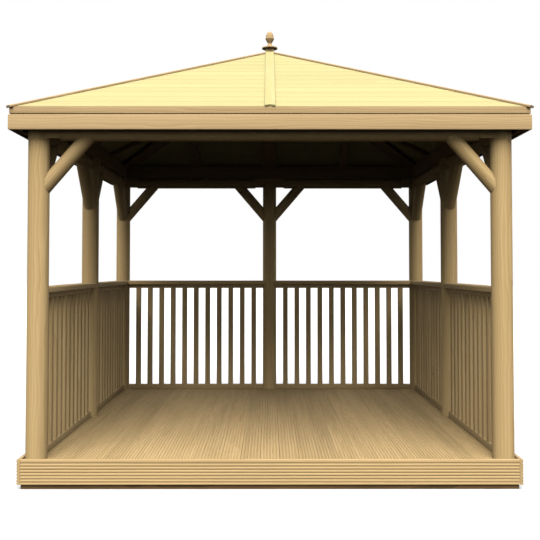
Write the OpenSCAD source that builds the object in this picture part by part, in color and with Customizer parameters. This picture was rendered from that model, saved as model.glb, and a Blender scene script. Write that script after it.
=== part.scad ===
// Square garden gazebo: round posts on a boarded floor, balustrades on three
// sides, and a boarded pyramid roof with a turned finial.
// The origin is on the ground below the middle of the floor. The open side faces -Y.

/* [Plan] */
// Distance between post centres, left to right
post_spacing_x = 2730; // [2200:10:3400]
// Distance between post centres, front to back
post_spacing_y = 2730; // [2200:10:3400]

/* [Floor] */
// Height of the deck surface above the ground
deck_top = 160; // [140:1:260]
// Reach of the deck past the post centres
deck_reach = 88; // [70:1:140]
// Thickness of the deck boards
deck_board_t = 22; // [18:1:32]
// Thickness of the boards round the edge of the floor
deck_fascia_t = 19; // [16:1:28]
// Height of the boards round the edge of the floor
deck_fascia_h = 143; // [90:1:148]
// Height of the edge boards above the deck surface
deck_fascia_lift = 12; // [0:1:14]
// Width of a bearer or joist
joist_w = 45; // [38:1:70]
// Greatest distance between joist centres
joist_pitch = 290; // [240:5:340]

/* [Posts, beams and braces] */
// Diameter of the posts
post_d = 124; // [100:1:144]
// Height from the deck to the underside of the beams
beam_clear_h = 1860; // [1700:10:2300]
// Diameter of the round beams
beam_d = 92; // [76:1:112]
// Depth planed off the top of the beams, as a seat for the wall plates
beam_flat = 3; // [2:0.5:6]
// Width of the squared ends of the beams
squared_w = 90; // [70:1:110]
// Height of the squared ends above the underside of the beams
squared_lift = 12; // [6:1:20]
// Length of the squared ends, from the post centre
squared_len = 133; // [100:1:180]
// Diameter of the braces
brace_d = 88; // [70:1:106]
// Slope of the braces above the horizontal, in degrees
brace_angle = 49.4; // [40:0.1:55]
// Depth below the beam at which a brace's lower edge meets its post
brace_drop = 307; // [250:1:420]

/* [Balustrades] */
// Height of the handrail above the deck
rail_h = 1000; // [850:1:1150]
// Width of the handrail
cap_w = 108; // [70:1:118]
// Thickness of the handrail
cap_t = 36; // [24:1:45]
// Height of the rail below the handrail
subrail_h = 33; // [24:1:60]
// Height of the bottom rail
foot_rail_h = 41; // [35:1:70]
// Width and depth of a baluster
baluster_w = 44; // [34:1:54]
// Number of balusters in a bay
baluster_n = 11; // [8:1:12]

/* [Roof] */
// Reach of the roof frame past the post centres
eaves_reach = 126; // [100:1:200]
// Height of the roof's edge above the underside of the beams
eaves_rise = 185; // [165:1:230]
// Height of the roof from its edge to its apex
roof_rise = 725; // [500:5:1000]
// Thickness of the roof boards
roof_board_t = 18; // [14:1:25]
// Thickness of the rafters
rafter_t = 35; // [28:1:60]
// Width of a rafter
rafter_w = 70; // [50:1:90]
// Width of the wall plates
plate_w = 70; // [50:1:90]
// Thickness of the rail that closes the rafters at the eaves
edge_rail_t = 35; // [28:1:50]
// Height of the edge rail's underside above the underside of the fascia
edge_rail_lift = 12; // [5:1:30]
// Thickness of the eaves fascia
fascia_t = 15; // [12:1:25]
// Height of the eaves fascia
fascia_h = 89; // [70:1:120]
// Height of the eaves fascia above the underside of the beams
fascia_lift = 45; // [20:1:60]

/* [Roof trim] */
// Thickness of the trim strip between the roof boards' edge and the eaves fascia
eaves_trim_t = 10; // [8:1:15]
// Gap between the eaves fascia and the trim strip
eaves_trim_gap = 5; // [4:1:12]
// Width of the cover strip up the middle of each slope
cover_w = 62; // [45:1:90]
// Thickness of the cover strips
cover_t = 11; // [8:1:18]
// Reach of the cover strips past the edge of the roof boards, measured in plan
cover_reach = 14; // [0:1:20]
// Width of the hip strips
hip_w = 44; // [34:1:70]
// Thickness of the hip strips
hip_t = 14; // [10:1:22]
// Depth to which the hip strips are notched over the hips
hip_notch = 6.5; // [1.5:0.5:8]
// Reach of the hip strips past the corners of the roof boards, measured in plan
hip_reach = 21; // [15:1:50]
// Diameter of the cap at the apex
cap_disc_d = 120; // [100:1:160]
// Thickness of the cap at the apex
cap_disc_t = 12; // [10:1:25]
// Height of the cap above the apex of the roof boards
cap_lift = 23; // [18:1:40]
// Height of the turned finial
finial_h = 123; // [80:1:200]
// Largest diameter of the turned finial
finial_d = 67; // [50:1:90]

/* [Hidden] */
$fn = 64;

// Small gap between pieces that butt together within one node
joint_gap = 0.5;
// Timber colours
post_colour = [0.86, 0.74, 0.51];
floor_colour = [0.89, 0.76, 0.53];
fascia_colour = [0.82, 0.70, 0.49];
roof_colour = [0.97, 0.92, 0.66];
frame_colour = [0.62, 0.47, 0.30];

// Half distances between post centres
half_x = post_spacing_x / 2;
half_y = post_spacing_y / 2;

// Floor levels and edges
joist_h = deck_top - deck_board_t;
deck_x = half_x + deck_reach;
deck_y = half_y + deck_reach;
frame_x = deck_x - deck_fascia_t;
frame_y = deck_y - deck_fascia_t;
joist_half_n = ceil((frame_y - joist_w / 2) / joist_pitch);
joist_step = (frame_y - joist_w / 2) / joist_half_n;

// Beam levels
beam_bottom = deck_top + beam_clear_h;
beam_axis = beam_bottom + beam_d / 2;
beam_top = beam_bottom + beam_d - beam_flat;
post_h = beam_top - deck_top;

// Roof edge and apex
roof_x = half_x + eaves_reach;
roof_y = half_y + eaves_reach;
eaves_z = beam_bottom + eaves_rise;
apex_z = eaves_z + roof_rise;
fascia_z = beam_bottom + fascia_lift;
// Underside of the cap, whose square foot is as wide as the cover strips that end at it
cap_z = apex_z + cap_lift;
cap_foot = cover_w;
// Half size of a block that is larger than the roof
beyond = 2 * max(roof_x, roof_y);

// Run and half width of the slope on a side, and the turn that puts it there
SIDES = ["front", "right", "back", "left"];
function side_turn(side) = side == "front" ? 0 : side == "right" ? 90 : side == "back" ? 180 : 270;
function faces_x(side) = side == "left" || side == "right";
function run_of(side) = faces_x(side) ? roof_x : roof_y;
function half_width_of(side) = faces_x(side) ? roof_y : roof_x;
function pitch_of(side) = atan(roof_rise / run_of(side));

// ---- Posts, beams and braces ----

module round_post(x, y) {
    color(post_colour)
        translate([x, y, deck_top])
            cylinder(d = post_d, h = post_h);
}

// Turns a member that runs along +X from a post so that it starts at (x, y) and heads for turn
module from_post(x, y, turn) {
    translate([x, y, 0])
        rotate([0, 0, turn])
            children();
}

// Waste beyond the mitre where two members meet at a corner post; side is 1 for +Y, -1 for -Y
module mitre_waste(side) {
    mirror([0, side < 0 ? 1 : 0, 0])
        translate([0, 0, -1])
            linear_extrude(apex_z)
                polygon([
                    [joint_gap, 0],
                    [joint_gap + post_d, post_d],
                    [-post_d, post_d],
                    [-post_d, 0]
                ]);
}

// Fits a member between two posts: coped to both, and mitred where a side is not 0
module fitted(length, start_side, end_side) {
    difference() {
        children();
        for (x = [0, length])
            translate([x, 0, deck_top - 1])
                cylinder(d = post_d, h = post_h + 2);
        if (start_side != 0)
            mitre_waste(start_side);
        if (end_side != 0)
            translate([length, 0, 0])
                mirror([1, 0, 0])
                    mitre_waste(end_side);
    }
}

// Round beam with squared ends and a flat top, from post centre to post centre
module beam(length, start_side, end_side) {
    color(post_colour)
        fitted(length, start_side, end_side) {
            difference() {
                translate([squared_len, 0, beam_axis])
                    rotate([0, 90, 0])
                        cylinder(d = beam_d, h = length - 2 * squared_len);
                translate([0, -beam_d, beam_top])
                    cube([length, 2 * beam_d, beam_d]);
            }
            for (x = [0, length - squared_len])
                translate([x, -squared_w / 2, beam_bottom + squared_lift])
                    cube([squared_len, squared_w, beam_top - beam_bottom - squared_lift]);
        }
}

// Round brace from the post at the origin up to the beam along +X
module brace(side) {
    // A point of the axis, found from where the lower edge meets the post
    axis_x = post_d / 2 - brace_d / 2 * sin(brace_angle);
    axis_z = beam_bottom - brace_drop + brace_d / 2 * cos(brace_angle);
    reach = (brace_drop + beam_d + post_d) / sin(brace_angle);
    color(post_colour)
        difference() {
            intersection() {
                translate([axis_x, 0, axis_z])
                    rotate([0, 90 - brace_angle, 0])
                        translate([0, 0, -post_d])
                            cylinder(d = brace_d, h = reach + post_d);
                translate([0, -brace_d, deck_top])
                    cube([reach, 2 * brace_d, beam_axis - deck_top]);
            }
            translate([0, 0, deck_top])
                cylinder(d = post_d, h = post_h);
            translate([0, 0, beam_axis])
                rotate([0, 90, 0])
                    cylinder(d = beam_d, h = reach + 1);
            if (side != 0)
                mitre_waste(side);
        }
}

// The two braces of a post; each entry of runs is [turn, mitre side]
module brace_pair(x, y, runs) {
    for (run = runs)
        from_post(x, y, run[0])
            brace(run[1]);
}

// ---- Balustrades ----

// Handrail, two rails and balusters of one bay, from post centre to post centre
module balustrade(length, start_side, end_side) {
    clear = length - post_d;
    gap = (clear - baluster_n * baluster_w) / (baluster_n + 1);
    rail_top = deck_top + rail_h;
    subrail_z = rail_top - cap_t - subrail_h;
    color(post_colour)
        fitted(length, start_side, end_side) {
            translate([0, -cap_w / 2, rail_top - cap_t])
                cube([length, cap_w, cap_t]);
            translate([0, -baluster_w / 2, subrail_z])
                cube([length, baluster_w, subrail_h + 1]);
            translate([0, -baluster_w / 2, deck_top])
                cube([length, baluster_w, foot_rail_h]);
            for (i = [0 : baluster_n - 1])
                translate([post_d / 2 + gap + i * (baluster_w + gap), -baluster_w / 2, deck_top + 1])
                    cube([baluster_w, baluster_w, subrail_z - deck_top]);
        }
}

// ---- Floor ----

module deck_boards() {
    color(floor_colour)
        translate([-frame_x, -frame_y, joist_h])
            cube([2 * frame_x, 2 * frame_y, deck_board_t]);
}

module deck_fascia() {
    z = deck_top + deck_fascia_lift - deck_fascia_h;
    color(fascia_colour) {
        for (x = [-deck_x, deck_x - deck_fascia_t])
            translate([x, -deck_y, z])
                cube([deck_fascia_t, 2 * deck_y, deck_fascia_h]);
        for (y = [-deck_y, deck_y - deck_fascia_t])
            translate([-frame_x + joint_gap, y, z])
                cube([2 * (frame_x - joint_gap), deck_fascia_t, deck_fascia_h]);
    }
}

// Bearers under the sides of the deck, and joists between them
module floor_frame() {
    inner_x = frame_x - joist_w;
    color(frame_colour) {
        for (x = [-frame_x, inner_x])
            translate([x, -frame_y, 0])
                cube([joist_w, 2 * frame_y, joist_h]);
        for (i = [-joist_half_n : joist_half_n])
            translate([joint_gap - inner_x, i * joist_step - joist_w / 2, 0])
                cube([2 * (inner_x - joint_gap), joist_w, joist_h]);
    }
}

// ---- Roof ----

// Turns what is drawn for the front side to another side
module on_side(side) {
    rotate([0, 0, side_turn(side)])
        children();
}

// Layer of the front slope between two depths below its top surface
module slope_layer(side, top_depth, bottom_depth) {
    pitch = pitch_of(side);
    translate([0, -run_of(side), eaves_z])
        rotate([pitch, 0, 0])
            translate([-beyond, -beyond, -bottom_depth])
                cube([2 * beyond, 3 * beyond, bottom_depth - top_depth]);
}

// Upright block over a plan shape, tall enough for the whole roof
module over_plan() {
    linear_extrude(apex_z + cap_disc_d)
        children();
}

// Plan of the front slope, or of the sector it lies in out to a greater reach
module slope_plan(side, reach = 0, inset = 0) {
    w = half_width_of(side);
    r = run_of(side);
    k = (r + reach) / r;
    polygon([[0, -inset], [w * k - inset, -(r + reach)], [-(w * k - inset), -(r + reach)]]);
}

// Plan band along the hip on the front slope's right, from one distance off it to another
module hip_band(side, width, inset) {
    w = half_width_of(side);
    r = run_of(side);
    rotate([0, 0, atan2(-r, w)])
        translate([0, -width])
            square([norm([w, r]), width - inset]);
}

// Solid under the top surface of the roof and its trim
module roof_body() {
    for (side = SIDES)
        on_side(side)
            intersection() {
                slope_layer(side, 0, beyond);
                over_plan()
                    slope_plan(side, eaves_trim_t);
            }
}

module roof_boards(side) {
    color(roof_colour)
        on_side(side)
            intersection() {
                slope_layer(side, 0, roof_board_t);
                over_plan()
                    slope_plan(side);
            }
}

// Rail and rafters under the boards of one slope, made for its right half and mirrored
module roof_frame(side) {
    r = run_of(side);
    w = half_width_of(side);
    rail_y = r - edge_rail_t;
    color(frame_colour)
        on_side(side) {
            for (hand = [0, 1])
                mirror([hand, 0, 0])
                    intersection() {
                        slope_layer(side, roof_board_t, roof_board_t + rafter_t);
                        over_plan()
                            rafter_plan(side, w, rail_y - joint_gap);
                    }
            edge_rail(side, rail_y);
        }
}

// Plan of a half slope's rafters: beside the middle, half way out, and along the hip
module rafter_plan(side, w, foot_y) {
    middle_x = w - eaves_reach;
    intersection() {
        translate([0, -foot_y])
            square([beyond, foot_y]);
        slope_half_plan(side);
        union() {
            difference() {
                union() {
                    translate([joint_gap / 2, -beyond])
                        square([rafter_w, beyond]);
                    translate([middle_x / 2 - rafter_w / 2, -beyond])
                        square([rafter_w, beyond]);
                }
                hip_band(side, rafter_w + joint_gap, -rafter_w);
            }
            difference() {
                hip_band(side, rafter_w, joint_gap / 2);
                translate([-beyond, -beyond])
                    square([beyond + joint_gap / 2, 2 * beyond]);
            }
        }
    }
}

module slope_half_plan(side) {
    w = half_width_of(side);
    r = run_of(side);
    polygon([[0, 0], [w, -r], [0, -r]]);
}

// Board on edge that closes the rafters, under the roof boards
module edge_rail(side, rail_y) {
    bottom = fascia_z + edge_rail_lift;
    difference() {
        intersection() {
            translate([-beyond, -run_of(side), bottom])
                cube([2 * beyond, edge_rail_t, eaves_z - bottom]);
            over_plan()
                slope_plan(side, 0, joint_gap);
        }
        slope_layer(side, -beyond, roof_board_t);
    }
}

// Plates on the beams that carry the rafters, bevelled to the slope of the roof
module wall_plates() {
    color(frame_colour)
        for (side = SIDES)
            on_side(side)
                difference() {
                    intersection() {
                        translate([-beyond, eaves_reach - run_of(side) - plate_w / 2, beam_top])
                            cube([2 * beyond, plate_w, roof_rise]);
                        over_plan()
                            slope_plan(side, 0, joint_gap);
                    }
                    slope_layer(side, -beyond, roof_board_t + rafter_t);
                }
}

module eaves_fascia() {
    color(fascia_colour)
        for (side = SIDES)
            on_side(side)
                intersection() {
                    translate([-beyond, -run_of(side) - fascia_t, fascia_z])
                        cube([2 * beyond, fascia_t, fascia_h]);
                    over_plan()
                        slope_plan(side, fascia_t, joint_gap);
                }
}

// Strips over the edge rails, bevelled to the slope of the roof
module eaves_trim() {
    trim_z = fascia_z + fascia_h + eaves_trim_gap;
    color(fascia_colour)
        for (side = SIDES)
            on_side(side)
                difference() {
                    intersection() {
                        translate([-beyond, -run_of(side) - eaves_trim_t, trim_z])
                            cube([2 * beyond, eaves_trim_t, eaves_z - trim_z]);
                        over_plan()
                            slope_plan(side, eaves_trim_t, joint_gap);
                    }
                    slope_layer(side, -beyond, 0);
                }
}

// Strips over the joint up the middle of each slope
module cover_strips() {
    color(roof_colour)
        for (side = SIDES)
            on_side(side)
                intersection() {
                    slope_layer(side, -cover_t, 0);
                    over_plan()
                        translate([-cover_w / 2, -run_of(side) - cover_reach])
                            square([cover_w, run_of(side) + cover_reach - cap_foot / 2 - joint_gap]);
                }
}

// Flat strips along the four hips, notched below to sit on them
module hip_strips() {
    plan_length = norm([roof_x, roof_y]);
    hip_slope = atan(roof_rise / plan_length);
    hip_length = (plan_length + hip_reach) / cos(hip_slope);
    color(fascia_colour)
        difference() {
            for (x = [-roof_x, roof_x])
                for (y = [-roof_y, roof_y])
                    translate([0, 0, apex_z])
                        rotate([0, hip_slope, atan2(y, x)])
                            translate([0, -hip_w / 2, -hip_notch])
                                cube([hip_length, hip_w, hip_t]);
            roof_body();
            over_plan() {
                square(cap_foot + 2 * joint_gap, center = true);
                square([cover_w + 2 * joint_gap, 2 * beyond], center = true);
                square([2 * beyond, cover_w + 2 * joint_gap], center = true);
            }
        }
}

module finial_cap() {
    color(fascia_colour)
        difference() {
            union() {
                translate([0, 0, cap_z])
                    cylinder(d = cap_disc_d, h = cap_disc_t);
                translate([-cap_foot / 2, -cap_foot / 2, apex_z - cap_foot])
                    cube([cap_foot, cap_foot, cap_z - apex_z + cap_foot + 1]);
            }
            roof_body();
        }
}

// Turned acorn on a neck that flares to its foot
module finial() {
    r = finial_d / 2;
    h = finial_h;
    color(fascia_colour)
        translate([0, 0, cap_z + cap_disc_t])
            rotate_extrude()
                polygon(concat(
                    [[0, 0], [0.82 * r, 0], [0.82 * r, 0.03 * h]],
                    [for (i = [1 : 6]) [
                        r * (0.45 + 0.37 * pow(1 - i / 6, 2)),
                        h * (0.03 + 0.20 * i / 6)
                    ]],
                    [[0.97 * r, 0.52 * h], [r, 0.54 * h], [r, 0.57 * h], [0.90 * r, 0.60 * h]],
                    [for (i = [1 : 8]) [
                        0.86 * r * cos(i * 11.25),
                        h * (0.62 + 0.38 * sin(i * 11.25))
                    ]]
                ));
}

round_post(-half_x, -half_y);  // post_front_left
round_post(half_x, -half_y);  // post_front_right
round_post(-half_x, 0);  // post_middle_left
round_post(half_x, 0);  // post_middle_right
round_post(-half_x, half_y);  // post_back_left
round_post(0, half_y);  // post_back_middle
round_post(half_x, half_y);  // post_back_right

from_post(-half_x, -half_y, 0) beam(2 * half_x, 1, 1);  // beam_front
from_post(-half_x, half_y, 0) beam(half_x, -1, 0);  // beam_back_left
from_post(0, half_y, 0) beam(half_x, 0, -1);  // beam_back_right
from_post(-half_x, -half_y, 90) beam(half_y, -1, 0);  // beam_left_front
from_post(-half_x, 0, 90) beam(half_y, 0, -1);  // beam_left_back
from_post(half_x, -half_y, 90) beam(half_y, 1, 0);  // beam_right_front
from_post(half_x, 0, 90) beam(half_y, 0, 1);  // beam_right_back

brace_pair(-half_x, -half_y, [[0, 1], [90, -1]]);  // braces_front_left
brace_pair(half_x, -half_y, [[180, -1], [90, 1]]);  // braces_front_right
brace_pair(-half_x, 0, [[90, 0], [270, 0]]);  // braces_middle_left
brace_pair(half_x, 0, [[90, 0], [270, 0]]);  // braces_middle_right
brace_pair(-half_x, half_y, [[0, -1], [270, 1]]);  // braces_back_left
brace_pair(0, half_y, [[0, 0], [180, 0]]);  // braces_back_middle
brace_pair(half_x, half_y, [[180, 1], [270, -1]]);  // braces_back_right

from_post(-half_x, -half_y, 90) balustrade(half_y, 0, 0);  // balustrade_left_front
from_post(-half_x, 0, 90) balustrade(half_y, 0, -1);  // balustrade_left_back
from_post(half_x, -half_y, 90) balustrade(half_y, 0, 0);  // balustrade_right_front
from_post(half_x, 0, 90) balustrade(half_y, 0, 1);  // balustrade_right_back
from_post(-half_x, half_y, 0) balustrade(half_x, -1, 0);  // balustrade_back_left
from_post(0, half_y, 0) balustrade(half_x, 0, -1);  // balustrade_back_right

deck_boards();
deck_fascia();
floor_frame();

wall_plates();
eaves_fascia();
eaves_trim();
roof_boards("front");  // roof_boards_front
roof_boards("back");  // roof_boards_back
roof_boards("left");  // roof_boards_left
roof_boards("right");  // roof_boards_right
roof_frame("front");  // roof_frame_front
roof_frame("back");  // roof_frame_back
roof_frame("left");  // roof_frame_left
roof_frame("right");  // roof_frame_right
cover_strips();
hip_strips();
finial_cap();
finial();
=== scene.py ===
import random

import bpy
import numpy as np
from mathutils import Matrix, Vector


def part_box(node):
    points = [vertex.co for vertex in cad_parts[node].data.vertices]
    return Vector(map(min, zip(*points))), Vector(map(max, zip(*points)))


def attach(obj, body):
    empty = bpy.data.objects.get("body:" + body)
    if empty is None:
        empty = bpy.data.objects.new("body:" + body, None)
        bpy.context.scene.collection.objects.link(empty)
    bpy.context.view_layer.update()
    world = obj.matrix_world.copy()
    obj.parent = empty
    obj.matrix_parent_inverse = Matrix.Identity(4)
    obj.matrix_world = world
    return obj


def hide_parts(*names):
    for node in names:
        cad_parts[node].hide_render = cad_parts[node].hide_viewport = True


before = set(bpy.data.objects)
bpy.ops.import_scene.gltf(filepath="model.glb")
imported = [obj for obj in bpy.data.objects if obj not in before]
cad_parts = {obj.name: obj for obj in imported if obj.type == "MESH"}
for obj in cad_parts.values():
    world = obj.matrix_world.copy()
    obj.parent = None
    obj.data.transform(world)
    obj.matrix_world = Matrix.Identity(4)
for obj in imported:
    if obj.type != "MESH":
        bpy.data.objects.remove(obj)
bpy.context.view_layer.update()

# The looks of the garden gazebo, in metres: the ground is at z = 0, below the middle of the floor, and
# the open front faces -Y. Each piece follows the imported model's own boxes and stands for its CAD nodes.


# Each piece adds its own number to this seed, and each shell of timber takes its grain from somewhere
# within the spread
SEED = 20
GRAIN_SPREAD = 40

# Faces that meet at more than this angle meet in a sharp edge
SHARP_DEGREES = 32

# ---- Sizes, in metres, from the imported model's own boxes ----

POST_LOW, POST_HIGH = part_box("post_front_left")
POST_R = (POST_HIGH.x - POST_LOW.x) / 2
HALF_X = -(POST_LOW.x + POST_HIGH.x) / 2
HALF_Y = -(POST_LOW.y + POST_HIGH.y) / 2
DECK_TOP = POST_LOW.z
BEAM_TOP = POST_HIGH.z
BEAM_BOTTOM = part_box("beam_front")[0].z
BEAM_R = 0.046
BEAM_AXIS = BEAM_BOTTOM + BEAM_R
DECK_LOW, DECK_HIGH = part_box("deck_boards")
DECK_FASCIA_LOW, DECK_FASCIA_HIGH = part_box("deck_fascia")
DECK_FASCIA_T = DECK_FASCIA_HIGH.x - DECK_HIGH.x
ROOF_LOW, ROOF_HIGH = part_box("roof_boards_front")
ROOF_RUN = -ROOF_LOW.y
ROOF_HALF = ROOF_HIGH.x
APEX_Z = ROOF_HIGH.z
ROOF_BOARD_T = 0.018
EAVES_FASCIA_LOW, EAVES_FASCIA_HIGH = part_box("eaves_fascia")
EAVES_FASCIA_T = EAVES_FASCIA_HIGH.x - ROOF_HALF
EAVES_TRIM_LOW, EAVES_TRIM_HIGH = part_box("eaves_trim")
EAVES_TRIM_T = EAVES_TRIM_HIGH.x - ROOF_HALF
CAP_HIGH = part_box("finial_cap")[1]
FINIAL_LOW, FINIAL_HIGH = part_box("finial")
HIP_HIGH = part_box("hip_strips")[1]
RAIL_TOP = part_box("balustrade_back_left")[1].z

# The gap left where two members meet
GAP = 0.0005

SIDE_TURNS = {"front": 0, "right": 1, "back": 2, "left": 3}


def quarter(vector, turns):
    """The vector turned about +Z by quarter turns."""
    x, y, z = vector
    for _ in range(turns % 4):
        x, y = -y, x
    return Vector((x, y, z))


# The slopes run from the top of the eaves trim, at the edge of the roof, up to the apex
EAVES_Z = EAVES_TRIM_HIGH.z
ROOF_PITCH = float(np.arctan2(APEX_Z - EAVES_Z, ROOF_RUN))
COS_PITCH = float(np.cos(ROOF_PITCH))
SIN_PITCH = float(np.sin(ROOF_PITCH))


# ---- Timber members ----


class Piece:
    """Shells of timber that become one mesh, with grain, tone and edge data at each vertex."""

    def __init__(self, name, seed):
        self.name = name
        self.random = random.Random(seed)
        self.points = []
        self.faces = []
        self.grain = []
        self.tone = []
        self.edge = []
        self.count = 0

    def add(self, points, faces, grain, edge, tone=None):
        """Adds a shell; each shell gets its own place in the grain and its own tone."""
        offset = np.array([self.random.uniform(0, GRAIN_SPREAD) for _ in range(3)])
        drawn = self.random.random()
        tone = drawn if tone is None else tone
        self.points.append(np.asarray(points, float))
        self.faces.extend([tuple(i + self.count for i in face) for face in faces])
        self.grain.append(np.asarray(grain, float) + offset)
        self.edge.append(np.asarray(edge, float))
        self.tone.append(np.full(len(points), tone))
        self.count += len(points)

    def member(self, origin, along, up, loop, start, end, rings=1, tone=None):
        """Runs a section loop of (side, up, edge) points from start to end along a line."""
        along, up = Vector(along), Vector(up)
        side = along.cross(up)
        u, v, edge = np.asarray(loop, float).T
        first = start(u, v) if callable(start) else np.full(len(u), start)
        last = end(u, v) if callable(end) else np.full(len(u), end)
        last = np.maximum(last, first + GAP)
        frame_axes = np.array([along, side, up])
        n = len(u)
        points = []
        grain = []
        for k in range(rings + 1):
            s = first + (last - first) * k / rings
            local = np.stack([s, u, v], 1)
            points.append(np.array(origin) + local @ frame_axes)
            grain.append(local)
        faces = [tuple(range(n))]
        for k in range(rings):
            a = k * n
            for i in range(n):
                j = (i + 1) % n
                faces.append((a + i, a + n + i, a + n + j, a + j))
        faces.append(tuple(reversed(range(rings * n, (rings + 1) * n))))
        self.add(np.concatenate(points), faces, np.concatenate(grain), np.tile(edge, rings + 1), tone)

    def lathe(self, centre, profile, segments=48):
        """Turns a profile of (radius, height) points, lowest first, about a vertical axis."""
        turn = np.linspace(0, 2 * np.pi, segments, endpoint=False)
        rows = np.array([[r * np.cos(turn), r * np.sin(turn), np.full(segments, z)] for r, z in profile])
        local = rows.transpose(0, 2, 1).reshape(-1, 3)
        faces = [tuple(reversed(range(segments)))]
        for k in range(len(profile) - 1):
            a = k * segments
            for i in range(segments):
                j = (i + 1) % segments
                faces.append((a + i, a + j, a + segments + j, a + segments + i))
        top = (len(profile) - 1) * segments
        faces.append(tuple(range(top, top + segments)))
        grain = local[:, [2, 0, 1]]
        self.add(local + np.array(centre), faces, grain, np.zeros(len(local)))

    def build(self, material, nodes):
        """Makes the object, which stands for the CAD nodes, hides them and gets the given material."""
        mesh = bpy.data.meshes.new(self.name)
        mesh.from_pydata(np.concatenate(self.points).tolist(), [], self.faces)
        mesh.validate()
        for name, rows in (("tone", self.tone), ("edge", self.edge)):
            data = mesh.attributes.new(name, "FLOAT", "POINT").data
            data.foreach_set("value", np.concatenate(rows).astype(np.float32))
        data = mesh.attributes.new("grain", "FLOAT_VECTOR", "POINT").data
        data.foreach_set("vector", np.concatenate(self.grain).astype(np.float32).ravel())
        mesh.shade_smooth()
        mesh.set_sharp_from_angle(angle=float(np.radians(SHARP_DEGREES)))
        mesh.materials.append(material)
        obj = bpy.data.objects.new(self.name, mesh)
        bpy.context.scene.collection.objects.link(obj)
        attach(obj, "root")
        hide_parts(*nodes)
        return obj


# ---- Sections: loops of (side, up, edge), counterclockwise as seen from the start ----

RIB_EASE = 0.0018
RIB_SIDE_SLANT = 0.0012
BOARD_EASE = 0.001
# Where the rounding of a rib or a lap has its middle point, as a share of its size
EASE_MIDDLE = 0.3


def round_section(radius, n=48, flat_top=None):
    """A round, planed flat above a height if one is given."""
    turn = np.arange(n) * 2 * np.pi / n
    u, v = radius * np.cos(turn), radius * np.sin(turn)
    if flat_top is not None:
        v = np.minimum(v, flat_top)
    return [(a, b, 0.0) for a, b in zip(u, v)]


def corner(x, y, from_degrees, to_degrees, ease, steps):
    """An eased corner whose arc is centred at (x, y)."""
    out = []
    for i in range(steps + 1):
        t = i / steps
        a = np.radians(from_degrees + (to_degrees - from_degrees) * t)
        out.append((x + ease * np.cos(a), y + ease * np.sin(a), 1.0 - abs(2 * t - 1)))
    return out


def eased_section(width, height, ease, top_ease=None, steps=4, v_mid=0.0):
    """A rectangle with eased edges; the upper edges may have their own radius."""
    top = ease if top_ease is None else top_ease
    w, h = width / 2, height / 2
    loop = corner(w - ease, ease - h, -90, 0, ease, steps)
    loop += corner(w - top, h - top, 0, 90, top, steps)
    loop += corner(top - w, h - top, 90, 180, top, steps)
    loop += corner(ease - w, ease - h, 180, 270, ease, steps)
    return [(a, b + v_mid, e) for a, b, e in loop]


def rib_edge(x, inward, top):
    """The rounded edge of a rib at x, from its side up to its top; inward is 1 or -1."""
    ease = RIB_EASE
    middle = EASE_MIDDLE * ease
    return [(x, top - ease, 0.6), (x + inward * middle, top - middle, 1.0), (x + inward * ease, top, 0.5)]


def ribbed_section(width, thickness, ribs, pitch, groove, depth, shift=0.0):
    """A decking board with rounded ribs on its upper face, whose grooves may lie off its middle."""
    top = thickness / 2
    loop = corner(width / 2 - BOARD_EASE, BOARD_EASE - top, -90, 0, BOARD_EASE, 2)
    span = (ribs - 1) * pitch
    for i in reversed(range(ribs)):
        middle = i * pitch - span / 2 + shift
        right = width / 2 if i == ribs - 1 else middle + (pitch - groove) / 2
        left = -width / 2 if i == 0 else middle - (pitch - groove) / 2
        loop += rib_edge(right, -1, top)
        loop += reversed(rib_edge(left, 1, top))
        if i > 0:
            floor_half = groove / 2 - RIB_SIDE_SLANT
            valley = middle - pitch / 2
            loop += [(valley + floor_half, top - depth, 0.0), (valley - floor_half, top - depth, 0.0)]
    loop += corner(BOARD_EASE - width / 2, BOARD_EASE - top, 180, 270, BOARD_EASE, 2)
    return loop


# ---- Materials ----

# How often each pattern of the timber repeats in a metre, along the grain and the two ways across it
WANDER_SCALE = (1.4, 9.0, 9.0)
FIBRE_SCALE = (5.0, 420.0, 420.0)
STREAK_SCALE = (0.9, 34.0, 34.0)
PATCH_SCALE = (0.7, 3.5, 3.5)
TONE_SCALE = (0.2, 9.0, 9.0)
SAW_MARK_SCALE = (260.0, 6.0, 6.0)
# The growth rings are drawn out along the grain, and their heart wanders across it
RING_SCALE = 22.0
RING_STRETCH = (0.12, 1.0, 1.0)
RING_WANDER = (0.0, 0.05, 0.035)
# Shares of the rings, streaks and fibres in the light and dark figure
RING_SHARE = 0.34
STREAK_SHARE = 0.46
FIBRE_SHARE = 0.20
# How far the figure spreads about its middle, for a contrast of 1
FIGURE_SPREAD = 0.31
# The relief of the grain, and how rough its light and dark wood is
RELIEF_DEPTH = 0.0008
RELIEF_STRENGTH = 0.35
ROUGHNESS_LIGHT = 0.62
ROUGHNESS_DARK = 0.84
SPECULAR = 0.3


def node(tree, kind, inputs=None, **settings):
    """Adds a shader node; inputs are values or sockets to link."""
    made = tree.nodes.new(kind)
    for key, value in settings.items():
        setattr(made, key, value)
    for key, value in (inputs or {}).items():
        socket = made.inputs[key]
        if isinstance(value, bpy.types.NodeSocket):
            tree.links.new(value, socket)
        else:
            socket.default_value = value
    return made


def ramp(tree, fac, stops):
    """A colour ramp through (place, colour) stops."""
    made = node(tree, "ShaderNodeValToRGB", {0: fac})
    elements = made.color_ramp.elements
    while len(elements) < len(stops):
        elements.new(0.5)
    for element, (place, colour) in zip(elements, stops):
        element.position = place
        element.color = (*colour, 1)
    return made.outputs["Color"]


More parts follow.
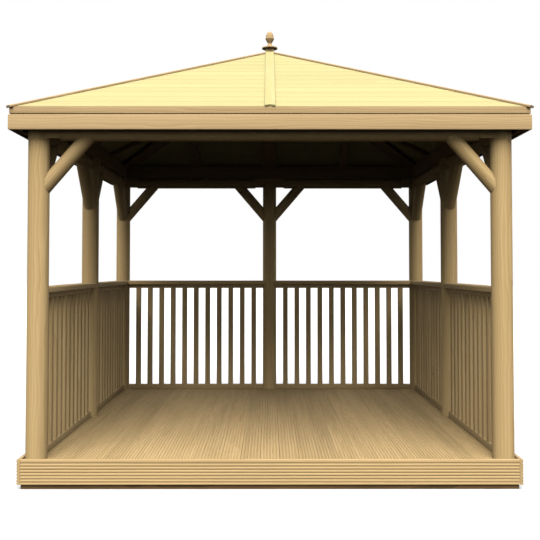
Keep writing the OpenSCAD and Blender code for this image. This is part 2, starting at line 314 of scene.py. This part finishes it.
def mix(tree, fac, a, b, blend="MIX"):
    """Mixes two colours."""
    made = node(tree, "ShaderNodeMix", data_type="RGBA", blend_type=blend)
    for name, value in (("Factor_Float", fac), ("A_Color", a), ("B_Color", b)):
        socket = next(s for s in made.inputs if s.identifier == name)
        if isinstance(value, bpy.types.NodeSocket):
            tree.links.new(value, socket)
        else:
            socket.default_value = (*value, 1) if isinstance(value, tuple) else value
    return next(s for s in made.outputs if s.identifier == "Result_Color")


def math_node(tree, operation, *values):
    """A math node on values or sockets."""
    made = node(tree, "ShaderNodeMath", dict(enumerate(values)), operation=operation)
    return made.outputs[0]


def map_range(tree, value, low, high, to_low, to_high):
    """Maps a value from one range to another, clamped."""
    made = node(tree, "ShaderNodeMapRange", {0: value, 1: low, 2: high, 3: to_low, 4: to_high})
    return made.outputs[0]


def stretched(tree, vector, scale):
    """The vector times a scale for each axis."""
    made = node(tree, "ShaderNodeVectorMath", {0: vector, 1: scale}, operation="MULTIPLY")
    return made.outputs[0]


def noise(tree, grain, scale, detail):
    """Noise between 0 and 1, with a scale for each axis of the grain."""
    made = node(tree, "ShaderNodeTexNoise", {
        "Vector": stretched(tree, grain, scale), "Scale": 1.0, "Detail": detail, "Roughness": 0.55})
    return made.outputs[0]


def knot_distance(tree, grain, cell):
    """Distance in metres from the nearest knot, and a random value for that knot."""
    scaled = stretched(tree, grain, tuple(1 / c for c in cell))
    cells = node(tree, "ShaderNodeTexVoronoi", {"Vector": scaled, "Scale": 1.0, "Randomness": 0.9})
    away = node(tree, "ShaderNodeVectorMath", {0: scaled, 1: cells.outputs["Position"]},
                operation="SUBTRACT")
    metres = stretched(tree, away.outputs[0], cell)
    length = node(tree, "ShaderNodeVectorMath", {0: metres}, operation="LENGTH")
    picked = node(tree, "ShaderNodeSeparateColor", {0: cells.outputs["Color"]})
    return length.outputs["Value"], picked.outputs[0]


def timber(name, light, dark, knot, contrast=0.5, knot_size=0.011, knot_cell=(0.55, 0.13, 0.13),
           tone_spread=0.12, wear_and_highlight=0.25, grain_axis=None, saw_marks=0.0):
    """Softwood with growth rings, fibres, drying streaks, knots, and edges lightened by wear and by a
    painted highlight.

    It reads the vertex data of the pieces built here, or follows the given axis on a CAD mesh.
    """
    material = bpy.data.materials.new(name)
    material.use_nodes = True
    tree = material.node_tree
    shader = tree.nodes["Principled BSDF"]
    if grain_axis is None:
        grain = node(tree, "ShaderNodeAttribute", attribute_name="grain").outputs["Vector"]
        tone = node(tree, "ShaderNodeAttribute", attribute_name="tone").outputs["Fac"]
        edge = node(tree, "ShaderNodeAttribute", attribute_name="edge").outputs["Fac"]
    else:
        place = node(tree, "ShaderNodeTexCoord").outputs["Object"]
        turn = {"x": (0, 0, 0), "y": (0, 0, -np.pi / 2)}[grain_axis]
        grain = node(tree, "ShaderNodeMapping", {"Vector": place, "Rotation": turn}).outputs[0]
        tone = noise(tree, grain, TONE_SCALE, 1.0)
        pointiness = node(tree, "ShaderNodeNewGeometry").outputs["Pointiness"]
        edge = map_range(tree, pointiness, 0.52, 0.6, 0.0, 1.0)

    wander = noise(tree, grain, WANDER_SCALE, 2.0)
    wander_all = node(tree, "ShaderNodeCombineXYZ", {0: wander, 1: wander, 2: wander}).outputs[0]
    rings_at = node(tree, "ShaderNodeVectorMath", {
        0: stretched(tree, grain, RING_STRETCH), 1: stretched(tree, wander_all, RING_WANDER)},
        operation="ADD").outputs[0]
    rings = node(tree, "ShaderNodeTexWave", {
        "Vector": rings_at, "Scale": RING_SCALE, "Distortion": 2.2, "Detail": 2.0, "Detail Scale": 1.6},
        wave_type="RINGS", rings_direction="X", wave_profile="SAW").outputs["Fac"]
    fibres = noise(tree, grain, FIBRE_SCALE, 3.0)
    streaks = noise(tree, grain, STREAK_SCALE, 4.0)
    patches = noise(tree, grain, PATCH_SCALE, 2.0)

    figure = math_node(tree, "ADD", math_node(tree, "MULTIPLY", rings, RING_SHARE),
                       math_node(tree, "MULTIPLY", streaks, STREAK_SHARE))
    figure = math_node(tree, "ADD", figure, math_node(tree, "MULTIPLY", fibres, FIBRE_SHARE))
    spread = contrast * FIGURE_SPREAD
    colour = ramp(tree, figure, [(0.5 - spread, dark), (0.5 + spread, light)])
    shade = map_range(tree, tone, 0.0, 1.0, 1.0 - tone_spread, 1.0 + tone_spread * 0.45)
    patch = map_range(tree, patches, 0.3, 0.7, 1.0 - tone_spread * 0.45, 1.0 + tone_spread * 0.3)
    shade = math_node(tree, "MULTIPLY", shade, patch)
    grey = node(tree, "ShaderNodeCombineColor", {0: shade, 1: shade, 2: shade}).outputs[0]
    colour = mix(tree, 1.0, colour, grey, "MULTIPLY")

    distance, chance = knot_distance(tree, grain, knot_cell)
    size = map_range(tree, chance, 0.35, 1.0, 0.0, knot_size)
    # Distance in knot radii; the small sum keeps a missing knot from dividing by zero
    radii = math_node(tree, "DIVIDE", distance, math_node(tree, "ADD", size, 0.0001))
    core = map_range(tree, radii, 0.7, 1.15, 1.0, 0.0)
    halo = map_range(tree, radii, 1.0, 2.6, 0.45, 0.0)
    colour = mix(tree, halo, colour, dark)
    colour = mix(tree, math_node(tree, "MULTIPLY", core, 0.85), colour, knot)
    # Edges and lap noses are lightened towards a paler colour: partly wear, partly a painted highlight on
    # the rounded arrises
    worn_and_highlit = math_node(tree, "MULTIPLY", edge, math_node(tree, "MULTIPLY", streaks, wear_and_highlight * 2))
    colour = mix(tree, worn_and_highlit, colour, tuple(min(1.0, c * 1.15) for c in light))
    tree.links.new(colour, shader.inputs["Base Color"])

    roughness = map_range(tree, figure, 0.2, 0.8, ROUGHNESS_DARK, ROUGHNESS_LIGHT)
    tree.links.new(roughness, shader.inputs["Roughness"])
    shader.inputs["Specular IOR Level"].default_value = SPECULAR
    height = math_node(tree, "ADD", math_node(tree, "MULTIPLY", fibres, 0.5),
                       math_node(tree, "MULTIPLY", rings, 0.5))
    height = math_node(tree, "SUBTRACT", height, math_node(tree, "MULTIPLY", core, 0.6))
    if saw_marks:
        marks = noise(tree, grain, SAW_MARK_SCALE, 1.0)
        height = math_node(tree, "ADD", height, math_node(tree, "MULTIPLY", marks, saw_marks))
    relief = node(tree, "ShaderNodeBump", {
        "Strength": RELIEF_STRENGTH, "Distance": RELIEF_DEPTH, "Height": height})
    tree.links.new(relief.outputs[0], shader.inputs["Normal"])
    return material


POST_TIMBER = timber("post_timber_planed", light=(0.73, 0.52, 0.245), dark=(0.55, 0.36, 0.145),
                     knot=(0.22, 0.11, 0.04), contrast=0.9)
RAIL_TIMBER = timber("balustrade_timber_planed", light=(0.66, 0.47, 0.225), dark=(0.50, 0.33, 0.14),
                     knot=(0.20, 0.10, 0.04), contrast=0.9, knot_size=0.007, knot_cell=(0.7, 0.09, 0.09))
FLOOR_TIMBER = timber("decking_timber", light=(0.69, 0.48, 0.228), dark=(0.50, 0.332, 0.142),
                      knot=(0.20, 0.10, 0.04), contrast=0.9, knot_size=0.009, tone_spread=0.2, wear_and_highlight=0.4)
# This timber's strong edge lightening is wear and a painted highlight on the fascia's rounded arrises
TRIM_TIMBER = timber("fascia_timber_planed", light=(0.68, 0.475, 0.235), dark=(0.50, 0.33, 0.15),
                     knot=(0.22, 0.12, 0.05), contrast=0.9, knot_size=0.008, wear_and_highlight=0.5)
ROOF_TIMBER = timber("roof_timber_lapped", light=(0.63, 0.56, 0.265), dark=(0.55, 0.47, 0.20),
                     knot=(0.34, 0.22, 0.08), contrast=0.9, knot_size=0.008, tone_spread=0.05)
# The bearers' dark colour is painted shade of the recess below the floor's fascia
BEARER_TIMBER = timber("bearer_timber_painted_shade", light=(0.25, 0.15, 0.055), dark=(0.13, 0.075, 0.025),
                       knot=(0.05, 0.025, 0.01), grain_axis="x", saw_marks=0.6)
FRAME_TIMBER = {
    axis: timber("frame_timber_sawn_" + axis, light=(0.46, 0.32, 0.16), dark=(0.32, 0.21, 0.10),
                 knot=(0.14, 0.07, 0.03), grain_axis=axis, saw_marks=0.8)
    for axis in "xy"
}


# ---- Posts, beams and braces ----

POSTS = {
    "front_left": (-HALF_X, -HALF_Y), "front_right": (HALF_X, -HALF_Y),
    "middle_left": (-HALF_X, 0), "middle_right": (HALF_X, 0),
    "back_left": (-HALF_X, HALF_Y), "back_middle": (0, HALF_Y), "back_right": (HALF_X, HALF_Y),
}
POST_TONE = 0.6
# A fine groove runs round each post where the beams start, down to a darker core whose tone is painted
# shade in the groove
JOINT_LINE = 0.0012
CORE_SHARE = 0.97
CORE_REACH = 0.01
JOINT_SHADE_TONE = 0.2
SQUARED_LEN = 0.133
SQUARED_W = 0.090
SQUARED_LIFT = 0.012
SQUARED_EASE = 0.004
SQUARED_LAP = 0.001
BEAM_TONES = (0.3, 0.9)
BRACE_R = 0.044
BRACE_SLOPE = float(np.radians(49.4))
BRACE_DROP = 0.307


def build_posts():
    """Round posts, with a fine joint line where the beams start."""
    shape = np.array(round_section(1.0, 64))
    for i, (name, (x, y)) in enumerate(POSTS.items()):
        piece = Piece("timber_post_" + name, SEED + i)
        round_post = shape * [POST_R, POST_R, 0]
        line_z = BEAM_BOTTOM - DECK_TOP
        for low, high in ((0, line_z - JOINT_LINE), (line_z, BEAM_TOP - DECK_TOP)):
            piece.member((x, y, DECK_TOP), (0, 0, 1), (0, 1, 0), round_post, low, high, 12, POST_TONE)
        # The core shows only in the groove; its darker tone is painted shade there
        core = round_post * [CORE_SHARE, CORE_SHARE, 1]
        piece.member((x, y, DECK_TOP), (0, 0, 1), (0, 1, 0), core,
                     line_z - CORE_REACH, line_z + CORE_REACH, 1, JOINT_SHADE_TONE)
        piece.build(POST_TIMBER, ["post_" + name])


def cope(u):
    """Reach of a post's face from its centre line, at an offset to the side."""
    return np.sqrt(np.maximum(POST_R ** 2 - np.asarray(u) ** 2, 0.0))


def member_start(u, y_sign):
    """Start of a member at a post, coped and mitred towards the side given by y_sign."""
    start = cope(u)
    if y_sign:
        start = np.maximum(start, y_sign * -np.asarray(u) + GAP)
    return start


def member_axes(direction):
    """The line of a member that leaves a post, as a level unit vector."""
    return quarter((1, 0, 0), direction)


def build_beam(name, start, end, direction, start_mitre, end_mitre, seed):
    """A round beam with squared ends and a flat top between two posts."""
    along = member_axes(direction)
    length = (Vector((*end, 0)) - Vector((*start, 0))).length
    origin = (start[0], start[1], BEAM_AXIS)
    flat = BEAM_TOP - BEAM_AXIS
    piece = Piece("timber_beam_" + name, seed)
    tone = piece.random.uniform(*BEAM_TONES)
    piece.member(origin, along, (0, 0, 1), round_section(BEAM_R, 48, flat),
                 SQUARED_LEN - SQUARED_LAP, length - SQUARED_LEN + SQUARED_LAP, 8, tone)
    low = SQUARED_LIFT - BEAM_R
    block = eased_section(SQUARED_W, flat - low, SQUARED_EASE, v_mid=(flat + low) / 2)
    piece.member(origin, along, (0, 0, 1), block,
                 lambda u, v: member_start(u, start_mitre), SQUARED_LEN, 1, tone)
    piece.member(origin, along, (0, 0, 1), block,
                 length - SQUARED_LEN, lambda u, v: length - member_start(u, end_mitre), 1, tone)
    piece.build(POST_TIMBER, ["beam_" + name])


def build_beams():
    """All seven ring beams: name, first and last post, quarter turns of the line, mitre at each end."""
    runs = [
        ("front", "front_left", "front_right", 0, 1, 1),
        ("back_left", "back_left", "back_middle", 0, -1, 0),
        ("back_right", "back_middle", "back_right", 0, 0, -1),
        ("left_front", "front_left", "middle_left", 1, -1, 0),
        ("left_back", "middle_left", "back_left", 1, 0, -1),
        ("right_front", "front_right", "middle_right", 1, 1, 0),
        ("right_back", "middle_right", "back_right", 1, 0, 1),
    ]
    for i, (name, a, b, direction, mitre_a, mitre_b) in enumerate(runs):
        build_beam(name, POSTS[a], POSTS[b], direction, mitre_a, mitre_b, SEED + 20 + i)


def add_brace(piece, post, direction, mitre):
    """A round brace from a post up to the beam that leaves the post in a direction."""
    cos_b, sin_b = np.cos(BRACE_SLOPE), np.sin(BRACE_SLOPE)
    level = member_axes(direction)
    along = level * float(cos_b) + Vector((0, 0, float(sin_b)))
    up = level * float(-sin_b) + Vector((0, 0, float(cos_b)))
    axis_x = POST_R - BRACE_R * sin_b
    axis_z = BEAM_BOTTOM - BRACE_DROP + BRACE_R * cos_b
    origin = Vector((*post, 0)) + level * float(axis_x) + Vector((0, 0, float(axis_z)))

    def start(u, v):
        reach = member_start(u, mitre)
        return (reach - axis_x + v * sin_b) / cos_b

    def end(u, v):
        under = BEAM_AXIS - np.sqrt(BEAM_R ** 2 - u ** 2)
        return (under - axis_z - v * cos_b) / sin_b

    piece.member(origin, along, up, round_section(BRACE_R, 48), start, end, 4)


def build_braces():
    """Two braces at each post, coped to the post and the beams, each as (quarter turns, mitre)."""
    runs = {
        "front_left": [(0, 1), (1, -1)], "front_right": [(2, -1), (1, 1)],
        "middle_left": [(1, 0), (3, 0)], "middle_right": [(1, 0), (3, 0)],
        "back_left": [(0, -1), (3, 1)], "back_middle": [(0, 0), (2, 0)],
        "back_right": [(2, 1), (3, -1)],
    }
    for i, (name, pair) in enumerate(runs.items()):
        piece = Piece("timber_braces_" + name, SEED + 30 + i)
        for direction, mitre in pair:
            add_brace(piece, POSTS[name], direction, mitre)
        piece.build(POST_TIMBER, ["braces_" + name])


# ---- Balustrades ----

CAP_RAIL_W = 0.108
CAP_RAIL_T = 0.036
CAP_RAIL_EASE = 0.003
CAP_RAIL_TOP_EASE = 0.009
BALUSTERS = 11
BALUSTER_W = 0.044
BALUSTER_EASE = 0.003
BALUSTER_TENON = 0.001
SUBRAIL_H = 0.033
SUBRAIL_EASE = 0.002
FOOT_RAIL_H = 0.041
FOOT_RAIL_W = 0.048
FOOT_RAIL_EASE = 0.003


def build_balustrade(name, start, direction, length, start_mitre, end_mitre, seed):
    """One bay: handrail, rail below it, bottom rail and balusters."""
    piece = Piece("timber_balustrade_" + name, seed)
    along = member_axes(direction)
    up = (0, 0, 1)
    clear = length - 2 * POST_R
    space = (clear - BALUSTERS * BALUSTER_W) / (BALUSTERS + 1)

    def rail(low, height, width, ease, top_ease=None):
        origin = (start[0], start[1], low + height / 2)
        piece.member(origin, along, up, eased_section(width, height, ease, top_ease),
                     lambda u, v: member_start(u, start_mitre),
                     lambda u, v: length - member_start(u, end_mitre), 2)

    rail(RAIL_TOP - CAP_RAIL_T, CAP_RAIL_T, CAP_RAIL_W, CAP_RAIL_EASE, CAP_RAIL_TOP_EASE)
    subrail_z = RAIL_TOP - CAP_RAIL_T - SUBRAIL_H
    rail(subrail_z, SUBRAIL_H, BALUSTER_W, SUBRAIL_EASE)
    rail(DECK_TOP, FOOT_RAIL_H, FOOT_RAIL_W, FOOT_RAIL_EASE)
    for i in range(BALUSTERS):
        s = POST_R + space + i * (BALUSTER_W + space) + BALUSTER_W / 2
        foot = Vector((start[0], start[1], 0)) + along * s
        piece.member(foot, up, along, eased_section(BALUSTER_W, BALUSTER_W, BALUSTER_EASE),
                     DECK_TOP + FOOT_RAIL_H - BALUSTER_TENON, subrail_z + BALUSTER_TENON, 2)
    piece.build(RAIL_TIMBER, ["balustrade_" + name])


def build_balustrades():
    """Six bays: name, first post, quarter turns of the line, length, mitre at each end."""
    bays = [
        ("left_front", "front_left", 1, HALF_Y, 0, 0), ("left_back", "middle_left", 1, HALF_Y, 0, -1),
        ("right_front", "front_right", 1, HALF_Y, 0, 0), ("right_back", "middle_right", 1, HALF_Y, 0, 1),
        ("back_left", "back_left", 0, HALF_X, -1, 0), ("back_right", "back_middle", 0, HALF_X, 0, -1),
    ]
    for i, (name, post, direction, length, mitre_a, mitre_b) in enumerate(bays):
        build_balustrade(name, POSTS[post], direction, length, mitre_a, mitre_b, SEED + 40 + i)


# ---- Floor ----

DECK_BOARDS = 25
DECK_GAP = 0.002
DECK_RIBS = 6
DECK_GROOVE_W = 0.0065
DECK_GROOVE_DEPTH = 0.0035
FASCIA_RIBS = 8
FASCIA_RIB_PITCH = 0.0181
FASCIA_RIB_SHIFT = 0.0042
FASCIA_GROOVE_W = 0.007
FASCIA_GROOVE_DEPTH = 0.003


def build_deck():
    """Ribbed boards that run from the front to the back."""
    piece = Piece("timber_deck_boards", SEED + 50)
    pitch = (DECK_HIGH.x - DECK_LOW.x + DECK_GAP) / DECK_BOARDS
    thickness = DECK_HIGH.z - DECK_LOW.z
    width = pitch - DECK_GAP
    section = ribbed_section(width, thickness, DECK_RIBS, width / DECK_RIBS,
                             DECK_GROOVE_W, DECK_GROOVE_DEPTH)
    for i in range(DECK_BOARDS):
        x = DECK_LOW.x + pitch * i + width / 2
        piece.member((x, 0, (DECK_LOW.z + DECK_HIGH.z) / 2), (0, 1, 0), (0, 0, 1), section,
                     DECK_LOW.y + GAP, DECK_HIGH.y - GAP, 6)
    piece.build(FLOOR_TIMBER, ["deck_boards"])


def build_deck_fascia():
    """Ribbed boards on edge round the floor; the side boards run past the front and back ones."""
    piece = Piece("timber_deck_fascia", SEED + 51)
    height = DECK_FASCIA_HIGH.z - DECK_FASCIA_LOW.z
    middle_z = (DECK_FASCIA_HIGH.z + DECK_FASCIA_LOW.z) / 2
    section = ribbed_section(height, DECK_FASCIA_T, FASCIA_RIBS, FASCIA_RIB_PITCH,
                             FASCIA_GROOVE_W, FASCIA_GROOVE_DEPTH, FASCIA_RIB_SHIFT)
    for turns in SIDE_TURNS.values():
        out = quarter((0, -1, 0), turns)
        along = quarter((1, 0, 0), turns)
        faces_x = turns % 2 == 1
        edge = DECK_FASCIA_HIGH.x if faces_x else DECK_FASCIA_HIGH.y
        half = DECK_FASCIA_HIGH.y if faces_x else DECK_HIGH.x - 2 * GAP
        centre = out * (edge - DECK_FASCIA_T / 2)
        piece.member((centre.x, centre.y, middle_z), along, out, section, -half, half, 6)
    piece.build(FLOOR_TIMBER, ["deck_fascia"])


# ---- Roof ----

COURSES = 14
LAP = 0.0010
LAP_EASE = 0.0010
FASCIA_EASE = 0.006
FASCIA_TOP_EASE = 0.003
TRIM_EASE = 0.003
TRIM_TOP_EASE = 0.0015
COVER_W = 0.062
COVER_T = 0.011
COVER_EASE = 0.002
COVER_OVERHANG = 0.0144
COVER_NOTCH = 0.009
COVER_NOTCH_HALF = 0.016
HIP_W = 0.044
HIP_T = 0.014
HIP_EASE = 0.001
HIP_TOP_EASE = 0.006
HIP_NOTCH = 0.0065
# The cap's square foot is as wide as the cover strips that end at it
FOOT = COVER_W
FOOT_EASE = 0.0025
FOOT_DEPTH = 0.017
CAP_T = 0.012
CAP_HUB_R = 0.02
# The cap's rim as (distance in from the edge, height above its underside)
CAP_RIM = [(0.004, 0.0), (0.001, 0.0012), (0.0, 0.004), (0.0, 0.0075), (0.002, 0.0105), (0.006, 0.012)]
# The finial as (radius, height), up to its rounded tip
FINIAL_PROFILE = [
    (0.0275, 0.000), (0.0295, 0.004), (0.0280, 0.010), (0.0205, 0.017), (0.0158, 0.027), (0.0162, 0.034),
    (0.0235, 0.046), (0.0300, 0.058), (0.0330, 0.065), (0.0335, 0.069), (0.0318, 0.0725), (0.0300, 0.075),
    (0.0298, 0.080), (0.0285, 0.089), (0.0255, 0.100), (0.0205, 0.111), (0.0120, 0.119),
]
FINIAL_TIP_R = 0.0030


def slope_axes(side):
    """Level direction, up-slope direction and normal of a slope, and the middle of its lower edge."""
    turns = SIDE_TURNS[side]
    level = quarter((1, 0, 0), turns)
    rise = quarter((0, COS_PITCH, SIN_PITCH), turns)
    normal = quarter((0, -SIN_PITCH, COS_PITCH), turns)
    edge = quarter((0, -ROOF_RUN, EAVES_Z), turns)
    return level, rise, normal, edge


def course_section(low, high):
    """A lapped board between two distances up the slope; its lower edge stands proud of the next."""
    top = -GAP
    back = -ROOF_BOARD_T
    middle = EASE_MIDDLE * LAP_EASE
    return [(-low, back, 0.0), (-low, top - 0.8 * LAP_EASE, 0.0), (-low - middle, top - middle, 1.0),
            (-low - LAP_EASE, top, 0.5), (-high, top - LAP, 0.0), (-high, back, 0.0)]


def hip_reach(u, v):
    """Half width of the slope at a distance -u up it and a height v above its surface."""
    return ROOF_HALF / ROOF_RUN * (ROOF_RUN + u * COS_PITCH + v * SIN_PITCH) - GAP


def build_roof_boards(side, seed):
    """The lapped boards of one slope, in two halves that meet below the cover strip."""
    piece = Piece("timber_roof_boards_" + side, seed)
    level, rise, normal, edge = slope_axes(side)
    length = ROOF_RUN / COS_PITCH
    exposure = length / COURSES
    for k in range(COURSES):
        low = k * exposure
        high = low + exposure - GAP
        section = course_section(low, high)
        piece.member(edge, level, normal, section,
                     GAP, lambda u, v: np.maximum(hip_reach(u, v), 2 * GAP))
        piece.member(edge, level, normal, section,
                     lambda u, v: -np.maximum(hip_reach(u, v), 2 * GAP), -GAP)
    piece.build(ROOF_TIMBER, ["roof_boards_" + side])


def build_eaves():
    """Fascia boards with rounded lower edges, and the trim strips above them, mitred."""
    # The trim's top is level, so it stays below the slope at its outer face
    trim_top = EAVES_TRIM_HIGH.z - EAVES_TRIM_T * SIN_PITCH / COS_PITCH
    boards = [
        ("eaves_fascia", EAVES_FASCIA_LOW.z, EAVES_FASCIA_HIGH.z,
         EAVES_FASCIA_T, FASCIA_EASE, FASCIA_TOP_EASE),
        ("eaves_trim", EAVES_TRIM_LOW.z, trim_top, EAVES_TRIM_T, TRIM_EASE, TRIM_TOP_EASE),
    ]
    for i, (name, z_low, z_high, thickness, ease, top_ease) in enumerate(boards):
        piece = Piece("timber_" + name, SEED + 60 + i)
        section = eased_section(thickness, z_high - z_low, ease, top_ease)
        run = ROOF_RUN + thickness / 2
        for turns in SIDE_TURNS.values():
            out = quarter((0, -1, 0), turns)
            along = quarter((1, 0, 0), turns)
            centre = out * run
            piece.member((centre.x, centre.y, (z_low + z_high) / 2), along, (0, 0, 1), section,
                         lambda u, v: -(run + u - GAP), lambda u, v: run + u - GAP, 6)
        piece.build(TRIM_TIMBER, [name])


def strip_section(width, thickness, ease, columns):
    """A flat strip on the slope, with points across it so that its end can be shaped."""
    loop = eased_section(width, thickness, ease, steps=2, v_mid=thickness / 2)
    across = np.linspace(-width / 2 + 2 * ease, width / 2 - 2 * ease, columns)
    quarter_n = len(loop) // 4
    bottom = [(x, 0.0, 0.0) for x in across]
    top = [(x, thickness, 0.0) for x in reversed(across)]
    return loop[:quarter_n * 2] + top + loop[quarter_n * 2:] + bottom


def build_cover_strips():
    """Strips up the middle of the slopes, with notched lower ends."""
    piece = Piece("timber_cover_strips", SEED + 70)
    section = strip_section(COVER_W, COVER_T, COVER_EASE, 9)
    for side in SIDE_TURNS:
        level, rise, normal, edge = slope_axes(side)

        def start(u, v):
            return -COVER_OVERHANG + COVER_NOTCH * np.maximum(0, 1 - np.abs(u) / COVER_NOTCH_HALF)

        def end(u, v):
            return (ROOF_RUN - FOOT / 2 - GAP + v * SIN_PITCH) / COS_PITCH

        piece.member(edge, rise, normal, section, start, end, 4)
    piece.build(ROOF_TIMBER, ["cover_strips"])


def hip_section(fall):
    """A flat strip, notched below to sit on a hip whose slopes fall away at the given rate."""
    loop = eased_section(HIP_W, HIP_T, HIP_EASE, HIP_TOP_EASE, v_mid=HIP_T / 2 - HIP_NOTCH)
    notch_half = HIP_NOTCH / fall
    return loop + [(-notch_half, -HIP_NOTCH, 0.0), (0.0, -GAP, 0.0), (notch_half, -HIP_NOTCH, 0.0)]


def build_hip_strips():
    """Flat strips along the hips, from the cap's foot to past the eaves corners, cut square."""
    piece = Piece("timber_hip_strips", SEED + 71)
    slope = float(np.arctan2(APEX_Z - EAVES_Z, np.hypot(ROOF_HALF, ROOF_RUN)))
    cos_h, sin_h = float(np.cos(slope)), float(np.sin(slope))
    # The box of the CAD node reaches to the corners of the strips' square ends
    end = (HIP_HIGH.x * 2 ** 0.5 - HIP_W / 2 - (HIP_T - HIP_NOTCH) * sin_h) / cos_h
    for turns in range(4):
        normal = quarter((0, -SIN_PITCH, COS_PITCH), turns)
        plan = quarter((1, -1, 0), turns).normalized()
        along = plan * cos_h - Vector((0, 0, sin_h))
        up = plan * sin_h + Vector((0, 0, cos_h))
        side = along.cross(up)
        section = hip_section(abs(normal.dot(side)) / normal.dot(up))

        def start(u, v):
            clear = (FOOT / 2 + GAP) * 2 ** 0.5 + np.abs(u)
            return (clear - v * sin_h) / cos_h

        piece.member((0, 0, APEX_Z), along, up, section, start, end, 12)
    piece.build(TRIM_TIMBER, ["hip_strips"])


def smooth_profile(points, steps=5):
    """A smooth curve through (radius, height) points."""
    p = np.array([points[0]] + points + [points[-1]], float)
    out = []
    for i in range(1, len(p) - 2):
        for k in range(steps):
            t = k / steps
            a, b, c, d = p[i - 1], p[i], p[i + 1], p[i + 2]
            out.append(0.5 * (2 * b + (c - a) * t + (2 * a - 5 * b + 4 * c - d) * t ** 2
                              + (3 * b - a - 3 * c + d) * t ** 3))
    out.append(p[-2])
    return [(max(float(r), 0.0005), float(z)) for r, z in out]


def build_finial():
    """The round cap on its square foot, and the turned finial."""
    cap = Piece("timber_finial_cap", SEED + 80)
    z = CAP_HIGH.z - CAP_T
    rim = [(CAP_HIGH.x - inset, height) for inset, height in CAP_RIM]
    cap.lathe((0, 0, z), [(CAP_HUB_R, 0.0)] + rim + [(CAP_HUB_R, CAP_T)], 64)
    foot = eased_section(FOOT, FOOT, FOOT_EASE)
    cap.member((0, 0, 0), (0, 0, 1), (0, 1, 0), foot, APEX_Z - FOOT_DEPTH, z + 2 * GAP)
    cap.build(TRIM_TIMBER, ["finial_cap"])

    finial = Piece("timber_finial", SEED + 81)
    tip = (FINIAL_TIP_R, FINIAL_HIGH.z - FINIAL_LOW.z)
    finial.lathe((0, 0, FINIAL_LOW.z), smooth_profile(FINIAL_PROFILE + [tip]))
    finial.build(TRIM_TIMBER, ["finial"])


def dress_frame_nodes():
    """Materials on the CAD nodes whose shape stays: floor frame, wall plates, rafters and rails."""
    dressed = {"floor_frame": BEARER_TIMBER, "wall_plates": FRAME_TIMBER["x"]}
    for side, turns in SIDE_TURNS.items():
        dressed["roof_frame_" + side] = FRAME_TIMBER["x" if turns % 2 else "y"]
    for name, material in dressed.items():
        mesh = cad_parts[name].data
        mesh.materials.clear()
        mesh.materials.append(material)


# ---- Stage ----

# The camera's distance is from the front posts, its height is above the deck and its angles are in degrees
CAMERA_X = -0.008
CAMERA_DISTANCE = 4.670
CAMERA_HEIGHT = 1.100
CAMERA_PITCH = 1.79
CAMERA_YAW = 0.095
CAMERA_LENS = 52.85
CAMERA_SENSOR = 36.0
CAMERA_SHIFT_Y = -0.0462
BACKDROP = (1.0, 1.0, 1.0)
# The sky's brightness from straight below (0) to straight above (1); the horizon is at 0.5
SKY = [(0.0, 0.01), (0.45, 0.03), (0.52, 0.52), (1.0, 0.64)]
STAGE_HALF = 60.0
STAGE_COLOUR = (0.95, 0.95, 0.95, 1)
KEY_STRENGTH = 3.9
KEY_SPREAD = 60
KEY_TILT = 36


def build_camera():
    """The camera at the photograph's place, just above the handrail's height."""
    data = bpy.data.cameras.new("camera")
    data.lens = CAMERA_LENS
    data.sensor_width = CAMERA_SENSOR
    data.shift_y = CAMERA_SHIFT_Y
    camera = bpy.data.objects.new("camera", data)
    bpy.context.scene.collection.objects.link(camera)
    camera.location = (CAMERA_X, -HALF_Y - CAMERA_DISTANCE, DECK_TOP + CAMERA_HEIGHT)
    camera.rotation_euler = (np.radians(90 + CAMERA_PITCH), 0, np.radians(-CAMERA_YAW))
    bpy.context.scene.camera = camera


def build_world():
    """An even pale backdrop for the camera, and sky light that falls off below the horizon."""
    world = bpy.data.worlds.new("studio")
    bpy.context.scene.world = world
    world.use_nodes = True
    tree = world.node_tree
    background = tree.nodes["Background"]
    direction = node(tree, "ShaderNodeTexCoord").outputs["Generated"]
    height = node(tree, "ShaderNodeSeparateXYZ", {0: direction}).outputs[2]
    place = map_range(tree, height, -1.0, 1.0, 0.0, 1.0)
    sky = ramp(tree, place, [(stop, (level, level, level)) for stop, level in SKY])
    seen = node(tree, "ShaderNodeLightPath").outputs["Is Camera Ray"]
    tree.links.new(mix(tree, seen, sky, BACKDROP), background.inputs["Color"])
    background.inputs["Strength"].default_value = 1.0


def build_floor():
    """A plain pale floor that reaches the horizon."""
    mesh = bpy.data.meshes.new("studio_floor")
    corners = [(x * STAGE_HALF, y * STAGE_HALF, 0) for x, y in ((-1, -1), (1, -1), (1, 1), (-1, 1))]
    mesh.from_pydata(corners, [], [(0, 1, 2, 3)])
    floor = bpy.data.objects.new("studio_floor", mesh)
    bpy.context.scene.collection.objects.link(floor)
    material = bpy.data.materials.new("studio_floor")
    material.use_nodes = True
    shader = material.node_tree.nodes["Principled BSDF"]
    shader.inputs["Base Color"].default_value = STAGE_COLOUR
    shader.inputs["Roughness"].default_value = 1.0
    shader.inputs["Specular IOR Level"].default_value = 0.0
    mesh.materials.append(material)
    floor.visible_diffuse = False
    floor.visible_glossy = False


def build_key_light():
    """A broad soft key light from above the front."""
    data = bpy.data.lights.new("key", "SUN")
    data.energy = KEY_STRENGTH
    data.angle = np.radians(KEY_SPREAD)
    key = bpy.data.objects.new("key", data)
    bpy.context.scene.collection.objects.link(key)
    key.rotation_euler = (np.radians(KEY_TILT), 0, 0)


def main():
    """Sets the stage, then builds every piece."""
    build_camera()
    build_world()
    build_floor()
    build_key_light()
    bpy.context.scene.view_settings.view_transform = "Standard"
    # Without bounced light the underside of the roof is as dark as in the photograph
    bpy.context.scene.cycles.diffuse_bounces = 0
    build_posts()
    build_beams()
    build_braces()
    build_balustrades()
    build_deck()
    build_deck_fascia()
    for i, side in enumerate(SIDE_TURNS):
        build_roof_boards(side, SEED + 90 + i)
    build_eaves()
    build_cover_strips()
    build_hip_strips()
    build_finial()
    dress_frame_nodes()


main()
